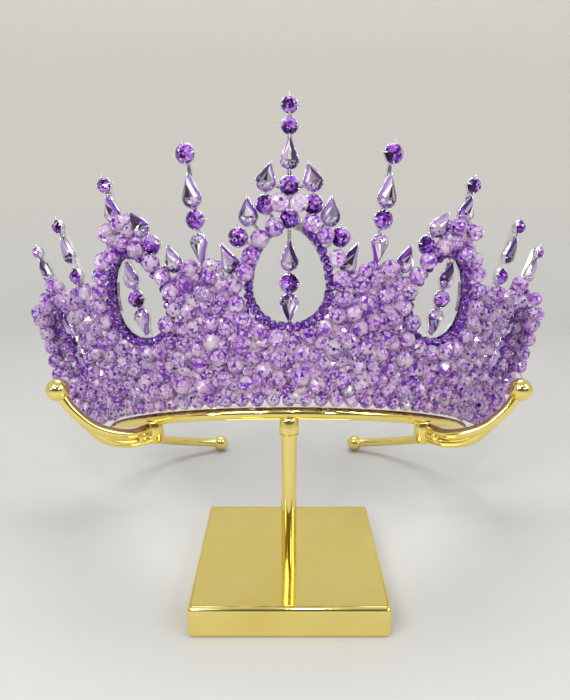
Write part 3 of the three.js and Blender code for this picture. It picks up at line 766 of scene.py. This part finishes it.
def random_turn():
    angles = [rng.uniform(0, 2 * math.pi) for _ in range(3)]
    turn = Matrix.Rotation(angles[0], 4, "Z") @ Matrix.Rotation(angles[1], 4, "X")
    return turn @ Matrix.Rotation(angles[2], 4, "Z")


def bead_place(point, radius):
    return Matrix.Translation(point) @ random_turn() @ Matrix.Scale(radius, 4)


def add_bead(pile, point, radius, tints, lines=1):
    vertices, fans, edges = BEAD_SHAPE
    faces, colours = [], []
    for fan in fans:
        faces += fan
        colours += [rng.choice(tints)] * len(fan)
    pile.add(vertices, faces, colours, bead_place(point, radius), [lines * edge for edge in edges])


def add_string_bead(pile, point, radius, tints):
    vertices, faces = STRING_SHAPE
    pile.add(vertices, faces, [rng.choice(tints) for _ in faces], bead_place(point, radius))


def bead_kind():
    draw = rng.random()
    for share, tints in BEAD_KINDS:
        if draw < share:
            return tints
        draw -= share
    return BEAD_KINDS[0][1]


def outside_stone(stone, azimuth, slant):
    """How far a place on the wall is outside a stone's outline."""
    axis_azimuth, height, width, length, lean = stone
    x = (azimuth - axis_azimuth) * cone_radius(slant)
    y = slant - height
    along = x * math.sin(lean) + y * math.cos(lean)
    across = x * math.cos(lean) - y * math.sin(lean)
    tip = length - width / 2
    share = min(max(along / tip, 0), 1) if length > width else 0
    return math.hypot(across, along - share * tip) - width / 2 * (1 - share)


def stone_marks():
    marks = []
    for name, axis, out, slant, cut, lean, both in STONES:
        for sign in signs_of(axis, both):
            azimuth = sign * (axis * AXIS_STEP + out / cone_radius(slant))
            marks.append((azimuth, slant, CUTS[cut][0], CUTS[cut][1], sign * math.radians(lean)))
    for name, axis, slant, cut, lean in STONE_ROWS:
        for sign in (-1, 1):
            marks.append((sign * axis * AXIS_STEP, slant, CUTS[cut][0], CUTS[cut][1], math.radians(lean)))
    return marks


STONE_MARKS = stone_marks()


def nearest_cell(azimuth, slant):
    return min(outside_cell(cell, sign, azimuth, slant) for cell in CELLS for sign in signs_of(cell[1]))


def flat(azimuth, slant):
    """A place on the wall, as distance along it and slant height."""
    return Vector((azimuth * cone_radius(slant), slant))


GRID_PITCH = 8


class Field:
    """Beads placed so far: azimuth, slant height, height off the wall, radius, and own tints if any."""

    def __init__(self):
        self.beads, self.grid = [], {}

    def key(self, here):
        return int(here.x // GRID_PITCH), int(here.y // GRID_PITCH)

    def free(self, here, clear):
        """Whether no bead of a layer is closer than that layer's clearance."""
        column, line = self.key(here)
        for dx in (-1, 0, 1):
            for dy in (-1, 0, 1):
                for other, layer in self.grid.get((column + dx, line + dy), []):
                    if (other - here).length < clear[layer]:
                        return False
        return True

    def put(self, azimuth, slant, height, radius, layer, swell=1, tints=None):
        here = flat(azimuth, slant)
        self.grid.setdefault(self.key(here), []).append((here, layer))
        self.beads.append((azimuth, slant, height + swell * bulge(azimuth, slant), radius, tints))


# row along the band
FOOT_SLANT = 2.9
FOOT_PITCH = 4.7
FOOT_HEIGHT = 3.6
FOOT_BEAD = 2.35

# wreath round each open cell
WREATH_STEPS = 360
WREATH_START = math.radians(18)
WREATH_GROW = 2 * STRING_RADIUS + 1.9
WREATH_SWAY = 0.5
WREATH_PITCH = 5.3
WREATH_CLEAR = 4.4
WREATH_STONE_ROOM = 1.7
WREATH_HEIGHT = 4.6
WREATH_BEAD = 2.85
WREATH_SIZES = (0.94, 1.06)
OVERHANG_GROW = 2.0
OVERHANG_HEIGHT = 5.8
# where a cell's wreath hangs over its string: degrees from the foot, round by the right
OVERHANGS = {
    ("centre", 1): [(196, 268), (150, 166)],
    ("side", -1): [(52, 68), (172, 214)],
    ("side", 1): [(146, 188), (292, 308)],
}

# two clear beads over the keystone
CLEAR_OUT = 2.75
CLEAR_SLANT = 62.7
CLEAR_HEIGHT = 4.6
CLEAR_BEAD = 2.95

# layer, radius, height off the wall, share of the bulge, clearance to the beads of layers 0 to 5
LAYERS = [
    (1, 2.85, 4.4, 1.0, (4.7, 4.9, 0, 0, 0, 0)),
    (2, 2.50, 3.2, 0.8, (3.0, 3.0, 4.0, 0, 0, 0)),
    (3, 2.15, 2.5, 0.4, (2.2, 2.1, 2.3, 3.0, 0, 0)),
    (4, 2.40, 2.6, 0.0, (0, 0, 0, 2.0, 4.4, 0)),
    (5, 1.55, 3.0, 0.9, (2.5, 2.3, 2.1, 2.0, 0, 2.6)),
]
TRIES = 30000
HEIGHT_SWAY = 0.6
SIZES = (0.94, 1, 1, 1.06, 1.18)
# the layer that fills the room under the bulge, and the share of the bulge where it begins
INNER_LAYER = 4
INNER_FROM = 0.3
# room that a bead keeps to a string, to the wall's end and to a stone, in bead radii
STRING_ROOM = 0.55
END_ROOM = 0.6
STONE_ROOM = 0.9
CREST_STONE_ROOM = 0.6

# heaps of beads under the side and outer spires: axis, nearest and farthest distance out, top slant height
CRESTS = [
    (2, -9.5, 4.5, 63.0),
    (4, -7.5, 5.0, 56.0),
]
CREST_TOP = 63


def in_crest(azimuth, slant):
    for axis, near, far, top in CRESTS:
        out = (abs(azimuth) - axis * AXIS_STEP) * cone_radius(slant)
        if near < out < far and slant < top:
            return True
    return False


def near_stone(azimuth, slant):
    return min(outside_stone(mark, azimuth, slant) for mark in STONE_MARKS)


def room_for_bead(azimuth, slant, radius):
    """Whether a bead belongs here: in the field, clear of the open cells and of the stones."""
    edge = nearest_cell(azimuth, slant)
    on_crest = in_crest(azimuth, slant)
    if edge < 2 * STRING_RADIUS + STRING_ROOM * radius or (slant > field_top(azimuth) and not on_crest):
        return False
    if abs(azimuth) > HALF_ARC - END_ROOM * radius / cone_radius(slant):
        return False
    return near_stone(azimuth, slant) > (CREST_STONE_ROOM if on_crest else STONE_ROOM) * radius


def hangs_over(cell, sign, turn):
    angle = math.degrees(turn) % 360
    return any(low < angle < high for low, high in OVERHANGS.get((cell[0], sign), []))


def lay_foot_row(field):
    count = int(2 * HALF_ARC * cone_radius(FOOT_SLANT) / FOOT_PITCH)
    for i in range(count):
        field.put(HALF_ARC * ((2 * i + 1) / count - 1), FOOT_SLANT, FOOT_HEIGHT, FOOT_BEAD, 0)


def lay_wreath(field, cell, sign):
    """One row of beads round an open cell, broken where stones or earlier beads are."""
    last = None
    for i in range(WREATH_STEPS):
        turn = WREATH_START + 2 * math.pi * i / WREATH_STEPS
        hung = hangs_over(cell, sign, turn)
        grow = OVERHANG_GROW if hung else WREATH_GROW
        azimuth, slant = cell_point(cell, sign, grow + rng.uniform(-WREATH_SWAY, WREATH_SWAY), turn)
        here = on_cone(azimuth, slant, 0)
        if last and (here - last).length < WREATH_PITCH:
            continue
        if abs(azimuth) > HALF_ARC or near_stone(azimuth, slant) < WREATH_STONE_ROOM:
            continue
        if not field.free(flat(azimuth, slant), (WREATH_CLEAR,) * (len(LAYERS) + 1)):
            continue
        height = OVERHANG_HEIGHT if hung else WREATH_HEIGHT
        field.put(azimuth, slant, height, WREATH_BEAD * rng.uniform(*WREATH_SIZES), 0)
        last = here


def lay_clear_beads(field):
    for sign in (-1, 1):
        azimuth = sign * CLEAR_OUT / cone_radius(CLEAR_SLANT)
        field.put(azimuth, CLEAR_SLANT, CLEAR_HEIGHT, CLEAR_BEAD, 0, tints=CLEAR_TINTS)


def fill_field(field):
    """Drops beads at random, layer by layer, wherever there is room."""
    for layer, radius, height, swell, clear in LAYERS:
        for _ in range(TRIES):
            slant = rng.uniform(FIELD_FOOT, CREST_TOP)
            azimuth = rng.uniform(-HALF_ARC, HALF_ARC)
            if layer == INNER_LAYER and end_share(azimuth) < INNER_FROM:
                continue
            if not field.free(flat(azimuth, slant), clear):
                continue
            if room_for_bead(azimuth, slant, radius):
                size = radius * rng.choice(SIZES)
                sway = rng.uniform(-HEIGHT_SWAY, HEIGHT_SWAY)
                field.put(azimuth, slant, height + sway, size, layer, swell)


def make_beads():
    field = Field()
    lay_foot_row(field)
    for cell in CELLS:
        for sign in signs_of(cell[1]):
            lay_wreath(field, cell, sign)
    lay_clear_beads(field)
    fill_field(field)
    piles = {-1: Pile(), 1: Pile()}
    for azimuth, slant, height, radius, tints in field.beads:
        pile, point = piles[-1 if azimuth < 0 else 1], on_cone(azimuth, slant, height)
        add_bead(pile, point, radius, tints or bead_kind(), CLEAR_LINES if tints else 1)
    for sign, side in ((-1, "left"), (1, "right")):
        pile = piles[sign]
        piece = new_object("beads_" + side, pile.vertices, pile.faces, BEAD, pile.colours, edges=pile.edges)
        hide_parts("bead_field_" + side)


STRING_PITCH = math.radians(10)
STRING_SWAY = 0.3
STRING_LIFTS = (-0.2, 0.5)
STRING_SIZES = (0.94, 1.16)


def make_strings():
    """Strings of small dark beads round the open cells."""
    for cell in CELLS:
        end = math.radians(cell[5])
        count = round(2 * end / STRING_PITCH)
        for sign in signs_of(cell[1]):
            pile = Pile()
            for i in range(count):
                grow = STRING_RADIUS + rng.uniform(-STRING_SWAY, STRING_SWAY)
                azimuth, slant = cell_point(cell, sign, grow, end * ((2 * i + 1) / count - 1))
                height = WALL_THICKNESS + SEAT_GAP + STRING_RADIUS + rng.uniform(*STRING_LIFTS)
                size = STRING_RADIUS * rng.uniform(*STRING_SIZES)
                add_string_bead(pile, on_cone(azimuth, slant, height), size, STRING_TINTS)
            node = "string_" + cell[0] + side_name(cell[1], False, sign)
            piece = new_object("row_of_" + node, pile.vertices, pile.faces, STRING_BEAD, pile.colours)
            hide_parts(node)


# Stand

def stand_piece(node, bodies, sharp):
    pile = Pile()
    for vertices, faces, place in bodies:
        pile.add(vertices, faces, None, place)
    piece = new_object("polished_" + node, pile.vertices, pile.faces, GOLD, smooth=True)
    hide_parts(node)
    shade_by_angle(piece, sharp)


def ring_point(turn):
    size = abs(turn)
    front = CONE_RADIUS + WALL_THICKNESS / 2
    radius = front if size < RING_FRONT_SWEEP else RING_REAR_RADIUS
    shift = front - radius
    x = shift * math.sin(RING_FRONT_SWEEP) + radius * math.sin(size)
    y = CONE_RADIUS - shift * math.cos(RING_FRONT_SWEEP) - radius * math.cos(size)
    return TIARA @ Vector((math.copysign(x, turn), y, RING_HEIGHT))


def shade_by_angle(piece, angle):
    """Smooth shading over round edges, sharp over corners steeper than the angle."""
    shape = bmesh.new()
    shape.from_mesh(piece.data)
    for face in shape.faces:
        face.smooth = True
    for edge in shape.edges:
        edge.smooth = len(edge.link_faces) == 2 and edge.calc_face_angle() < angle
    shape.to_mesh(piece.data)
    shape.free()


BEVEL_STEPS = 6
CORNER_STEPS = 8
# how much less round the corner is at the end of the bevel
CORNER_SHRINK = 0.5
# corners steeper than these stay sharp
PLATE_SHARP = math.radians(31)
POST_SHARP = math.radians(40)
CRADLE_SHARP = math.radians(50)


def make_base():
    """The square plate, with round corners and a bevel along its upper and lower edges."""
    levels = []
    for i in range(BEVEL_STEPS + 1):
        turn = math.pi / 2 * i / BEVEL_STEPS
        levels.append((PLATE_BEVEL * (1 - math.sin(turn)), PLATE_BEVEL * (1 - math.cos(turn))))
    levels += [(inset, PLATE_HEIGHT - z) for inset, z in levels[::-1]]
    corners = [(1, 1), (-1, 1), (-1, -1), (1, -1)]
    vertices = []
    for inset, z in levels:
        round_off = PLATE_CORNER - inset * PLATE_CORNER / PLATE_BEVEL * CORNER_SHRINK
        centre = PLATE_SIDE / 2 - round_off - inset
        for corner, (sx, sy) in enumerate(corners):
            for i in range(CORNER_STEPS + 1):
                turn = math.pi / 2 * (corner + i / CORNER_STEPS)
                vertices.append(Vector((sx * centre, sy * centre, z)) + on_circle(round_off, turn))
    faces = skin(len(levels), len(corners) * (CORNER_STEPS + 1))
    stand_piece("base_plate", [(vertices, faces, Matrix())], PLATE_SHARP)


COLLAR_FOOT = RING_FRONT_Z - ROD_RADIUS - COLLAR_SKIRT
COLLAR_TOP = RING_FRONT_Z - ROD_RADIUS + COLLAR_CAP
# inset from the collar's side and height over its foot, with a groove
SKIRT_PROFILE = [(0.1, 0), (0, 0.1), (0, 0.4), (0.4, 0.45), (0.4, 0.8), (0, 0.85)]
# inset from the collar's side and depth under its top
CAP_PROFILE = [(0, 1.2), (0.6, 0.3), (1.6, 0)]
# radius and height of the screw socket in the collar's front
SOCKET_PROFILE = [(0, -0.8), (0.75, -0.8), (0.7, 0.12), (0.42, 0.12), (0.4, -0.6), (0, -0.6)]
SOCKET_LEVEL = 1.9
POST_SIDES = 48
COLLAR_SIDES = 40
SOCKET_SIDES = 20


def make_post_and_collar():
    profile = [(0, PLATE_HEIGHT), (POST_RADIUS, PLATE_HEIGHT), (POST_RADIUS, COLLAR_FOOT), (0, COLLAR_FOOT)]
    stand_piece("post", [(*lathe(profile, POST_SIDES), Matrix())], POST_SHARP)

    profile = [(0, COLLAR_FOOT)]
    profile += [(COLLAR_RADIUS - inset, COLLAR_FOOT + rise) for inset, rise in SKIRT_PROFILE]
    profile += [(COLLAR_RADIUS - inset, COLLAR_TOP - drop) for inset, drop in CAP_PROFILE]
    profile.append((0, COLLAR_TOP))
    collar = lathe(profile, COLLAR_SIDES)
    socket = lathe(SOCKET_PROFILE, SOCKET_SIDES)
    front = Matrix.Translation((0, -COLLAR_RADIUS, COLLAR_FOOT + SOCKET_LEVEL))
    facing = front @ Matrix.Rotation(math.pi / 2, 4, "X")
    stand_piece("collar", [(*collar, Matrix()), (*socket, facing)], POST_SHARP)


RING_STEPS = 90
BEND_STEPS = 10
ROD_SIDES = 24
BARREL_SIDES = 32
BARREL_BEVEL = 0.6
BARREL_END = 0.8


def side_path(root, share, points, sign):
    """The way of a horn or a brace from its fitting outward, mirrored for the left."""
    start = root - Vector((0, 0, FITTING_HEIGHT * share))
    return [start, *(Vector((sign * x, y, z)) for x, y, z in points)]


def make_cradle():
    turns = [RING_REAR_END * (2 * i / RING_STEPS - 1) for i in range(RING_STEPS + 1)]
    bodies = [(*rod([ring_point(t) for t in turns], ROD_RADIUS, ROD_SIDES), Matrix())]
    end = FITTING_RADIUS * BARREL_END
    barrel = lathe([
        (0, -FITTING_HEIGHT),
        (end, -FITTING_HEIGHT),
        (FITTING_RADIUS, -FITTING_HEIGHT + BARREL_BEVEL),
        (FITTING_RADIUS, -BARREL_BEVEL),
        (end, 0),
        (0, 0),
    ], BARREL_SIDES)
    for sign in (-1, 1):
        root = ring_point(sign * FITTING_AZIMUTH)
        horn = side_path(root, HORN_SHARE, HORN, sign)
        brace = side_path(root, BRACE_SHARE, BRACE, sign)
        for path in (horn, brace):
            bodies.append((*rod(smooth_path(path, BEND_STEPS), HORN_RADIUS, ROD_SIDES), Matrix()))
        bodies.append((*barrel, Matrix.Translation(root)))
        bodies.append((*knurled_nut(), nut_place(root, (horn[1] + brace[1]) / 2)))
        for tip in (horn[-1], ring_point(sign * RING_REAR_END)):
            bodies.append((*ball(BALL_RADIUS), Matrix.Translation(tip)))
    stand_piece("cradle", bodies, CRADLE_SHARP)


NUT_RIBS = 24
# level, radius at a rib and in a groove
NUT_LEVELS = [
    (-1.9, 2.2, 2.2),
    (-1.5, 2.7, 2.45),
    (1.5, 2.7, 2.45),
    (1.9, 2.2, 2.2),
]


def knurled_nut():
    """A short nut with a ribbed waist, along Z."""
    vertices = []
    for z, crest, groove in NUT_LEVELS:
        for i in range(NUT_RIBS):
            vertices.append(on_circle(groove if i % 2 else crest, 2 * math.pi * i / NUT_RIBS, z))
    return vertices, skin(len(NUT_LEVELS), NUT_RIBS)


def nut_place(root, towards):
    low = root - Vector((0, 0, FITTING_HEIGHT * NUT_SHARE))
    run = (towards - low).normalized()
    return Matrix.Translation(low + run * NUT_DISTANCE) @ run.to_track_quat("Z", "Y").to_matrix().to_4x4()


def make_frame():
    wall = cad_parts["tiara_frame"]
    wall.data.materials.clear()
    wall.data.materials.append(SILVER)


# Stage, light and camera, in metres

FLOOR_RADIUS = 0.46
FLOOR_FLAT = 0.5
BEND_RADIUS = 0.25
BACKDROP_TOP = 0.75
BACKDROP_BENDS = 10
BACKDROP_SIDES = 96
BACKDROP_ROUGHNESS = 0.6
# scale and detail of the grain, then its strength and depth
BACKDROP_GRAIN = (30, 4)
BACKDROP_BUMP = (0.08, 0.002)
# height and tint
BACKDROP_TINTS = [
    (0.0, (0.57, 0.57, 0.56)),
    (0.12, (0.62, 0.60, 0.57)),
    (0.3, (0.68, 0.65, 0.60)),
    (0.5, (0.84, 0.82, 0.78)),
]
SKY_TINT = (0.97, 0.98, 1, 1)
SKY_STRENGTH = 0.62


def stage_object(name, vertices, faces, look):
    mesh = bpy.data.meshes.new(name)
    mesh.from_pydata(vertices, [], faces)
    mesh.materials.append(look)
    made = bpy.data.objects.new(name, mesh)
    bpy.context.scene.collection.objects.link(made)
    return made


def make_stage():
    """A pale floor that bends up into a round backdrop, under an even sky."""
    look, tree, shader = material("pale_backdrop")
    place = tree.nodes.new("ShaderNodeTexCoord")
    parts = tree.nodes.new("ShaderNodeSeparateXYZ")
    tree.links.new(place.outputs["Object"], parts.inputs["Vector"])
    tree.links.new(ramp(tree, parts.outputs["Z"], BACKDROP_TINTS), shader.inputs["Base Color"])
    bump(tree, shader, noise_field(tree, *BACKDROP_GRAIN), *BACKDROP_BUMP)
    shader.inputs["Roughness"].default_value = BACKDROP_ROUGHNESS
    profile = [(0, 0), (FLOOR_RADIUS * FLOOR_FLAT, 0)]
    for i in range(BACKDROP_BENDS + 1):
        turn = math.pi / 2 * i / BACKDROP_BENDS
        profile.append((FLOOR_RADIUS + BEND_RADIUS * math.sin(turn), BEND_RADIUS * (1 - math.cos(turn))))
    profile.append((FLOOR_RADIUS + BEND_RADIUS, BACKDROP_TOP))
    vertices, faces = lathe(profile, BACKDROP_SIDES)
    backdrop = stage_object("backdrop", vertices, [face[::-1] for face in faces], look)
    backdrop.data.polygons.foreach_set("use_smooth", [True] * len(faces))

    world = bpy.data.worlds.new("studio")
    world.use_nodes = True
    sky = world.node_tree.nodes["Background"]
    sky.inputs["Color"].default_value = SKY_TINT
    sky.inputs["Strength"].default_value = SKY_STRENGTH
    bpy.context.scene.world = world


CARD_RADIUS = 0.66
CARD_REACH = math.radians(62)
CARD_LOW = 0.05
CARD_HIGH = 0.74
CARD_SPANS = 16
CARD_TINTS = [(0.3, (0.09, 0.09, 0.09)), (0.7, (0.13, 0.13, 0.12))]


def make_dark_card():
    """A dark card behind the camera that only reflections see, for contrast in the metal and the stones."""
    look, tree, shader = material("dark_card")
    tree.links.new(ramp(tree, noise_field(tree, 5, 1), CARD_TINTS), shader.inputs["Base Color"])
    vertices = []
    for i in range(CARD_SPANS + 1):
        turn = CARD_REACH * (2 * i / CARD_SPANS - 1)
        for z in (CARD_LOW, CARD_HIGH):
            vertices.append((CARD_RADIUS * math.sin(turn), -CARD_RADIUS * math.cos(turn), z))
    faces = [(2 * i, 2 * i + 1, 2 * i + 3, 2 * i + 2) for i in range(CARD_SPANS)]
    card = stage_object("dark_card", vertices, faces, look)
    card.visible_camera = False
    card.visible_diffuse = False
    card.visible_shadow = False
    card.visible_transmission = False


DOME_RADIUS = 0.42
DOME_PLACE = (0, 0.03, 0.1)
PANE_SCALE = 9
PANE_STRENGTH = 2.2
# from which random value on a pane has this tint
PANE_TINTS = [
    (0.0, (0.07, 0.015, 0.14)),
    (0.3, (0.50, 0.43, 0.50)),
    (0.72, (1, 0.98, 1)),
]


def make_glitter_dome():
    """A dome of bright and dark panes that only light through glass sees, so that cut beads glitter."""
    look, tree, shader = material("panes")
    place = tree.nodes.new("ShaderNodeTexCoord")
    panes = tree.nodes.new("ShaderNodeTexVoronoi")
    panes.inputs["Scale"].default_value = PANE_SCALE
    tree.links.new(place.outputs["Object"], panes.inputs["Vector"])
    parts = tree.nodes.new("ShaderNodeSeparateColor")
    tree.links.new(panes.outputs["Color"], parts.inputs["Color"])
    glow = ramp(tree, parts.outputs["Red"], PANE_TINTS, "CONSTANT")
    tree.links.new(glow, shader.inputs["Emission Color"])
    shader.inputs["Emission Strength"].default_value = PANE_STRENGTH
    shader.inputs["Base Color"].default_value = (0, 0, 0, 1)
    shader.inputs["Specular IOR Level"].default_value = 0
    look.cycles.emission_sampling = "NONE"
    dome = stage_object("glitter_dome", *ball(DOME_RADIUS, 48, 24), look)
    dome.location = DOME_PLACE
    dome.visible_camera = False
    dome.visible_diffuse = False
    dome.visible_glossy = False
    dome.visible_shadow = False


LIT_POINT = Vector((0, 0.03, 0.08))
# name, place, width and height, power
LIGHTS = [
    ("key", (-0.32, -0.40, 0.55), (0.28, 0.28), 1.6),
    ("fill", (0.42, -0.24, 0.42), (0.20, 0.36), 0.8),
    ("back", (0.0, 0.24, 0.66), (0.5, 0.2), 1.4),
    ("spark_left", (-0.16, -0.42, 0.36), (0.04, 0.04), 0.35),
    ("spark_right", (0.22, -0.40, 0.30), (0.04, 0.04), 0.3),
    ("spark_top", (0.03, -0.34, 0.50), (0.04, 0.04), 0.3),
    ("spark_low", (-0.36, -0.30, 0.22), (0.04, 0.04), 0.25),
]


def make_lights():
    for name, place, size, power in LIGHTS:
        lamp = bpy.data.lights.new(name, "AREA")
        lamp.shape = "RECTANGLE"
        lamp.size, lamp.size_y = size
        lamp.energy = power
        light = bpy.data.objects.new(name, lamp)
        light.location = place
        light.rotation_euler = (LIT_POINT - Vector(place)).to_track_quat("-Z", "Y").to_euler()
        light.visible_camera = False
        bpy.context.scene.collection.objects.link(light)


# the photo's view of the stand, its dip in degrees
CAMERA_PLACE = (-0.00129, -0.18199, 0.12892)
CAMERA_DIP = 15.01
CAMERA_LENS = 31.43
CAMERA_SENSOR = 36
CAMERA_NEAR = 0.01


def make_camera():
    lens = bpy.data.cameras.new("camera")
    lens.sensor_width = CAMERA_SENSOR
    lens.lens = CAMERA_LENS
    lens.clip_start = CAMERA_NEAR
    view = bpy.data.objects.new("camera", lens)
    view.location = CAMERA_PLACE
    view.rotation_euler = (math.radians(90 - CAMERA_DIP), 0, 0)
    bpy.context.scene.collection.objects.link(view)
    bpy.context.scene.camera = view


INDIRECT_CLAMP = 6

make_frame()
make_stones()
make_beads()
make_strings()
make_base()
make_post_and_collar()
make_cradle()
make_stage()
make_dark_card()
make_glitter_dome()
make_lights()
make_camera()
bpy.context.scene.view_settings.view_transform = "Standard"
bpy.context.scene.cycles.sample_clamp_indirect = INDIRECT_CLAMP
